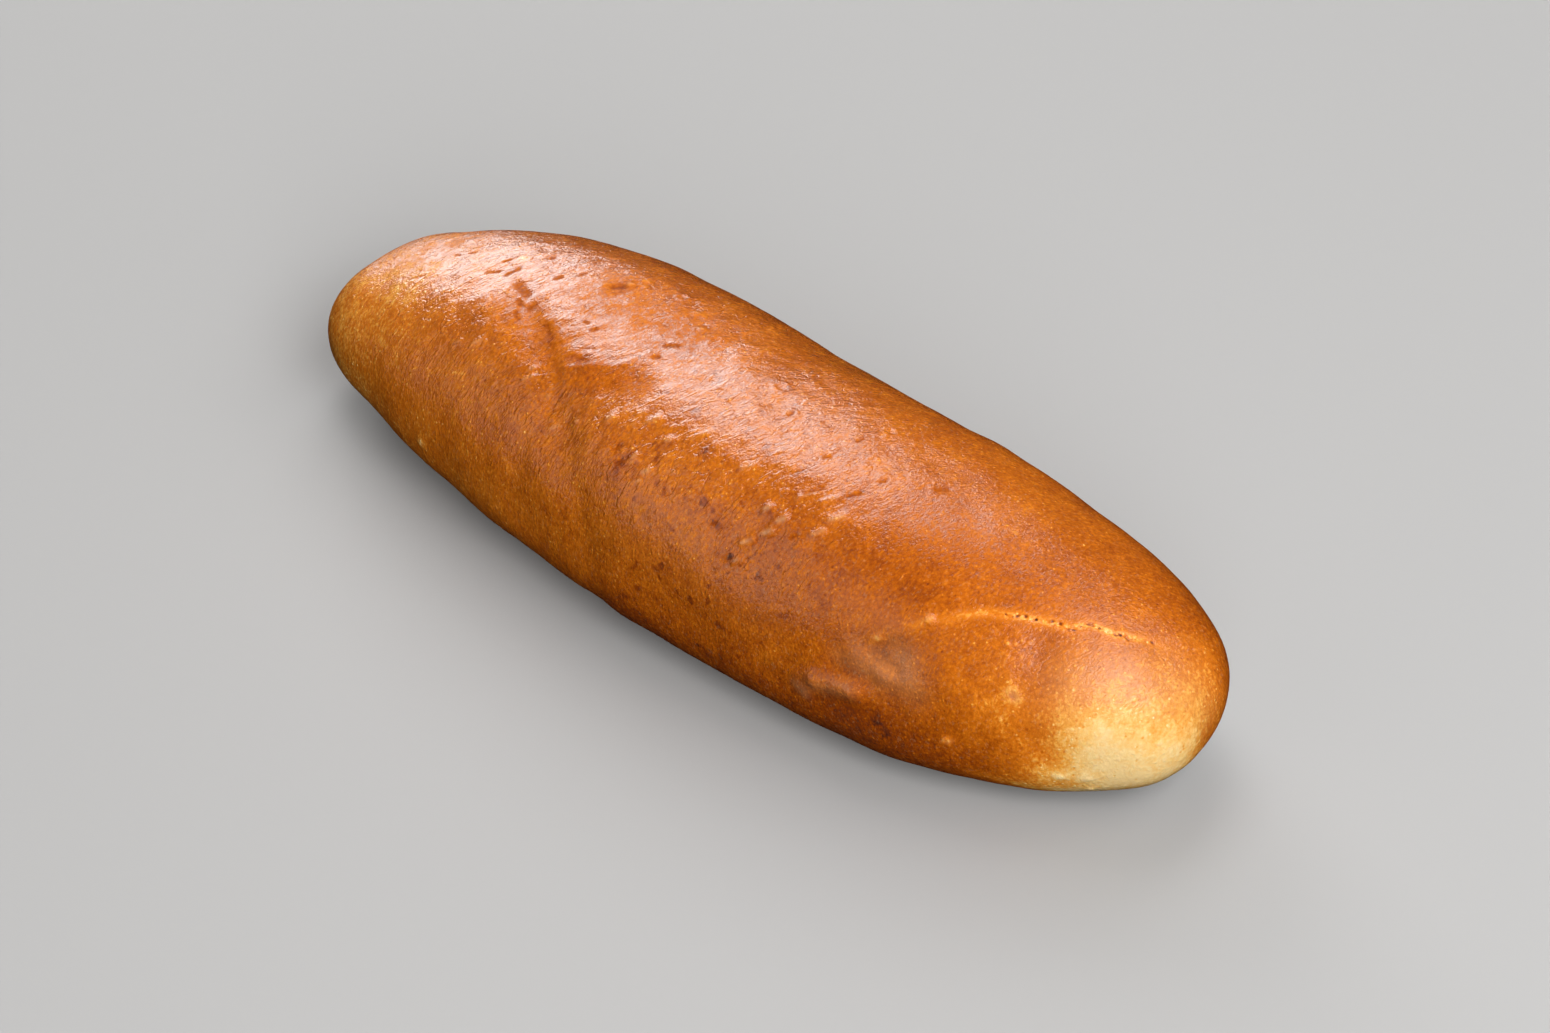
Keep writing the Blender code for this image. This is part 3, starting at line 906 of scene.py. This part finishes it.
def bake_values(points):
    values = line_values(points, BAKE_LEVEL, BAKE_BANDS)
    for place, radius, change in SPOTS:
        values += change * bell(distance_to_point(points, place), radius)
    for start, end, width, depth in DIMPLES:
        values += DIMPLE_BAKE * bell(distance_to_line(points, start, end), width)
    for place, radius, depth in PITS:
        values += PIT_BAKE * bell(distance_to_point(points, place), radius)
    # Paler blisters; the paleness partly paints their glints
    for place, half_length, width, rise in BLISTERS:
        values += BLISTER_PALE_AND_GLINT * bell(distance_to_line(points, *blister_ends(place, half_length)), width)
    return values


def glaze_values(points):
    values = line_values(points, GLAZE_LEVEL, GLAZE_BANDS)
    for start, end, width, depth in DIMPLES:
        values += DIMPLE_GLAZE * bell(distance_to_line(points, start, end), width)
    return values


# Share of the painted sheen colour: pinkish sheen patches and painted highlight crowns on the blisters
def painted_sheen_values(points):
    values = line_values(points, 0.0, PAINTED_SHEEN_BANDS)
    for place, half_length, width, rise in BLISTERS:
        ends = blister_ends(place, half_length)
        values += BLISTER_PAINTED_HIGHLIGHT * rise * bell(distance_to_line(points, *ends), BLISTER_CROWN * width)
    return values


def make_bun():
    mesh = gridded_block()
    points = block_to_roll(block_points(mesh))
    data = bpy.data.meshes.new("bun_crust")
    mesh.to_mesh(data)
    mesh.free()
    points = settle(raised(data, points, main_relief(points)))
    points = settle(raised(data, points, fine_relief(points)))
    place_points(data, points)
    add_values(data, "bake", bake_values(points))
    add_values(data, "glaze", glaze_values(points))
    # Painted sheen and highlight, as a share of the painted sheen colour
    add_values(data, "painted_sheen", painted_sheen_values(points))
    add_values(data, "smooth", np.maximum(smoothness(points), LOW_SMOOTH * lowness(points)))
    add_values(data, "seam", seam_run(points) * bell(distance_to_path(points, SEAM), SEAM_PALE_WIDTH))
    add_values(data, "spotted", bell(distance_to_point(points, SPOTTED_PLACE), SPOTTED_RADIUS))
    data.shade_smooth()
    bun = bpy.data.objects.new("bun_crust", data)
    bpy.context.collection.objects.link(bun)
    return bun


def add_node(tree, kind, values=None, **settings):
    """Shader node with its settings, and values for its input sockets by name or number."""
    node = tree.nodes.new(kind)
    for name, setting in settings.items():
        setattr(node, name, setting)
    for socket, value in (values or {}).items():
        node.inputs[socket].default_value = value
    return node


def arithmetic(tree, operation, first, second):
    """Math node whose operands are numbers or output sockets."""
    node = add_node(tree, "ShaderNodeMath", operation=operation)
    for socket, operand in zip(node.inputs, (first, second)):
        if isinstance(operand, (int, float)):
            socket.default_value = operand
        else:
            tree.links.new(operand, socket)
    return node.outputs["Value"]


def product(tree, first, second):
    return arithmetic(tree, "MULTIPLY", first, second)


def blend(tree, base, parts, shares):
    """Sum of a number or socket and of the named parts times their shares."""
    total = base
    for name, share in shares.items():
        total = arithmetic(tree, "ADD", total, product(tree, parts[name], share))
    return total


def scaled_place(tree, place, size, stretch):
    """Place in cells of the given size, which are longer along the slanting wrinkles."""
    values = {"Scale": (size, size * stretch, size * stretch), "Rotation": (0.0, 0.0, -SLANT)}
    mapping = add_node(tree, "ShaderNodeMapping", values, vector_type="TEXTURE")
    tree.links.new(place, mapping.inputs["Vector"])
    return mapping.outputs["Vector"]


def grain(tree, place, size, detail, stretch):
    """Noise of the given grain size in metres, centred on zero."""
    values = {"Scale": 1.0, "Detail": detail, "Roughness": GRAIN_ROUGHNESS}
    texture = add_node(tree, "ShaderNodeTexNoise", values)
    tree.links.new(scaled_place(tree, place, size, stretch), texture.inputs["Vector"])
    return arithmetic(tree, "SUBTRACT", texture.outputs["Fac"], 0.5)


def dots(tree, place, spacing, radius, share, stretch):
    """1 in round dots, 0 between them. Only a share of the cells of the given spacing has one."""
    cells = add_node(tree, "ShaderNodeTexVoronoi", {"Scale": 1.0, "Randomness": 1.0})
    tree.links.new(scaled_place(tree, place, spacing, stretch), cells.inputs["Vector"])
    reach = radius / spacing
    rise = add_node(tree, "ShaderNodeMapRange", {1: reach, 2: reach * DOT_MIDDLE, 3: 0.0, 4: 1.0})
    tree.links.new(cells.outputs["Distance"], rise.inputs[0])
    chance = add_node(tree, "ShaderNodeSeparateColor")
    tree.links.new(cells.outputs["Color"], chance.inputs["Color"])
    kept = arithmetic(tree, "LESS_THAN", chance.outputs["Red"], share)
    return product(tree, rise.outputs[0], kept)


def smooth_step(tree, value, low, high):
    step = add_node(tree, "ShaderNodeMapRange", {1: low, 2: high}, interpolation_type="SMOOTHSTEP")
    tree.links.new(value, step.inputs[0])
    return step.outputs[0]


def colour_ramp(tree, value, stops):
    ramp = add_node(tree, "ShaderNodeValToRGB")
    elements = ramp.color_ramp.elements
    while len(elements) < len(stops):
        elements.new(1.0)
    for element, (place, colour) in zip(elements, stops):
        element.position = place
        element.color = (*colour, 1.0)
    tree.links.new(value, ramp.inputs["Fac"])
    return ramp.outputs["Color"]


def crust_parts(tree):
    """Sockets of the mesh's own values and of all the grains, by name."""
    place = add_node(tree, "ShaderNodeTexCoord").outputs["Object"]
    parts = {}
    for name in ("bake", "glaze", "painted_sheen", "smooth", "spotted", "seam"):
        parts[name] = add_node(tree, "ShaderNodeAttribute", attribute_name=name).outputs["Fac"]
    for name, sizes in GRAINS.items():
        parts[name] = grain(tree, place, *sizes)
    for name, sizes in DOTS.items():
        parts[name] = dots(tree, place, *sizes)
    for name in LINED_GRAINS:
        parts[name] = arithmetic(tree, "ABSOLUTE", parts[name], 0.0)
    for name, ends in MARKS.items():
        parts[name] = smooth_step(tree, parts[name], *ends)
    return parts


def place_grains(tree, parts):
    """Keep the creases and streaks off the smooth half, and the other marks in their places."""
    creased = product(tree, parts["crease"], parts["broken"])
    parts["crease"] = product(tree, creased, arithmetic(tree, "SUBTRACT", 1.0, parts["smooth"]))
    parts["streak"] = product(tree, parts["streak"], blend(tree, 1.0, parts, {"smooth": -STREAK_LOSS}))
    parts["dark_spots"] = product(tree, parts["spotted"], parts["dark_spots"])
    parts["seam_line"] = product(tree, parts["seam"], blend(tree, 1.0, parts, SEAM_GRAIN))
    seam_middle = arithmetic(tree, "POWER", parts["seam"], SEAM_PORE_POWER)
    parts["seam_pores"] = product(tree, seam_middle, parts["seam_pores"])


def crust_colour(tree, parts):
    parts["browned"] = smooth_step(tree, parts["bake"], *BROWNED)
    kept = blend(tree, PALE_SHARE, parts, {"browned": 1 - PALE_SHARE})
    parts["fine"] = product(tree, blend(tree, 0.0, parts, FINE_SHADES), kept)
    shade = blend(tree, parts["bake"], parts, SHADES)
    # The ramp's colour mixed towards the painted sheen colour where sheen, blister glints and glint
    # specks are painted
    colour = add_node(tree, "ShaderNodeMix", {"B": PAINTED_SHEEN_COLOUR}, data_type="RGBA")
    tree.links.new(blend(tree, parts["painted_sheen"], parts, GLINT_SPECK_SHARE), colour.inputs["Factor"])
    tree.links.new(colour_ramp(tree, shade, CRUST_COLOURS), colour.inputs["A"])
    return colour.outputs["Result"]


def glaze_weight(tree, parts):
    glazed = smooth_step(tree, blend(tree, parts["glaze"], parts, GLAZE_GRAIN), *GLAZE_COVER)
    weight = blend(tree, GLAZE_PLAIN, parts, {"smooth": GLAZE_FOLDED - GLAZE_PLAIN})
    return product(tree, glazed, weight)


def crust_normal(tree, parts):
    wrinkled = blend(tree, WRINKLE_HEIGHT, parts, {"smooth": -WRINKLE_LOSS * WRINKLE_HEIGHT})
    height = blend(tree, product(tree, parts["wrinkle"], wrinkled), parts, HEIGHTS)
    bump = add_node(tree, "ShaderNodeBump", {"Strength": 1.0, "Distance": 1.0})
    tree.links.new(height, bump.inputs["Height"])
    return bump.outputs["Normal"]


def crust_material():
    """Baked crust whose shade follows the bake, under a coat of egg glaze."""
    material = bpy.data.materials.new("crust")
    material.use_nodes = True
    tree = material.node_tree
    shader = tree.nodes["Principled BSDF"]
    parts = crust_parts(tree)
    place_grains(tree, parts)
    normal = crust_normal(tree, parts)
    for name, socket in (
        ("Base Color", crust_colour(tree, parts)),
        ("Roughness", blend(tree, CRUST_ROUGHNESS, parts, ROUGHNESS_GRAIN)),
        ("Coat Weight", glaze_weight(tree, parts)),
        ("Normal", normal),
        ("Coat Normal", normal),
    ):
        tree.links.new(socket, shader.inputs[name])
    for name, value in (
        ("IOR", CRUST_IOR),
        ("Specular IOR Level", CRUST_SPECULAR),
        ("Coat Roughness", GLAZE_ROUGHNESS),
        ("Coat IOR", GLAZE_IOR),
        ("Subsurface Weight", SUBSURFACE_WEIGHT),
        ("Subsurface Radius", SUBSURFACE_RADIUS),
        ("Subsurface Scale", 1.0),
    ):
        shader.inputs[name].default_value = value
    return material


def make_floor():
    mesh = bmesh.new()
    bmesh.ops.create_grid(mesh, x_segments=1, y_segments=1, size=FLOOR_REACH)
    data = bpy.data.meshes.new("floor")
    mesh.to_mesh(data)
    mesh.free()
    floor = bpy.data.objects.new("floor", data)
    bpy.context.collection.objects.link(floor)
    floor.visible_glossy = False
    floor.visible_diffuse = False
    material = bpy.data.materials.new("floor")
    material.use_nodes = True
    shader = material.node_tree.nodes["Principled BSDF"]
    shader.inputs["Base Color"].default_value = FLOOR_COLOUR
    shader.inputs["Roughness"].default_value = FLOOR_ROUGHNESS
    shader.inputs["Specular IOR Level"].default_value = FLOOR_SPECULAR
    data.materials.append(material)


def soft_light(name, azimuth, elevation, width, height, tilt, power):
    """Rectangle of light a metre off that looks at the roll."""
    light = bpy.data.lights.new(name, "AREA")
    light.shape = "RECTANGLE"
    light.size = width
    light.size_y = height
    light.energy = power
    lamp = bpy.data.objects.new(name, light)
    turn = math.radians(azimuth)
    rise = math.radians(elevation)
    away = Vector((math.cos(turn) * math.cos(rise), math.sin(turn) * math.cos(rise), math.sin(rise)))
    lamp.location = away
    lamp.rotation_mode = "QUATERNION"
    lamp.rotation_quaternion = away.to_track_quat("Z", "Y") @ Quaternion((0, 0, 1), math.radians(tilt))
    lamp.visible_glossy = name not in UNREFLECTED
    bpy.context.collection.objects.link(lamp)


def make_world():
    """Dim even light from the room, less of it from under the floor."""
    world = bpy.data.worlds.new("studio")
    world.use_nodes = True
    tree = world.node_tree
    background = tree.nodes["Background"]
    direction = add_node(tree, "ShaderNodeTexCoord").outputs["Generated"]
    parts = add_node(tree, "ShaderNodeSeparateXYZ")
    tree.links.new(direction, parts.inputs["Vector"])
    low, high = ROOM_HORIZON
    under, over = ROOM_STRENGTH
    above = add_node(tree, "ShaderNodeMapRange", {1: low, 2: high, 3: under, 4: over})
    tree.links.new(parts.outputs["Z"], above.inputs[0])
    sight = add_node(tree, "ShaderNodeLightPath").outputs["Is Camera Ray"]
    strength = add_node(tree, "ShaderNodeMix", data_type="FLOAT")
    tree.links.new(sight, strength.inputs["Factor"])
    tree.links.new(above.outputs[0], strength.inputs["A"])
    strength.inputs["B"].default_value = BACKGROUND_STRENGTH
    tree.links.new(strength.outputs["Result"], background.inputs["Strength"])
    background.inputs["Color"].default_value = (1.0, 1.0, 1.0, 1.0)
    bpy.context.scene.world = world


def make_camera():
    lens = bpy.data.cameras.new("camera")
    lens.lens = LENS
    lens.sensor_width = SENSOR
    camera = bpy.data.objects.new("camera", lens)
    camera.location = CAMERA_PLACE
    back = Vector(CAMERA_PLACE) - Vector(CAMERA_TARGET)
    camera.rotation_mode = "QUATERNION"
    camera.rotation_quaternion = back.to_track_quat("Z", "Y")
    bpy.context.collection.objects.link(camera)
    bpy.context.scene.camera = camera


bun = make_bun()
bun.data.materials.append(crust_material())
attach(bun, "root")
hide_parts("bun")
make_floor()
for light_name, light_sizes in LIGHTS.items():
    soft_light(light_name, *light_sizes)
make_world()
make_camera()
bpy.context.scene.view_settings.view_transform = "Standard"
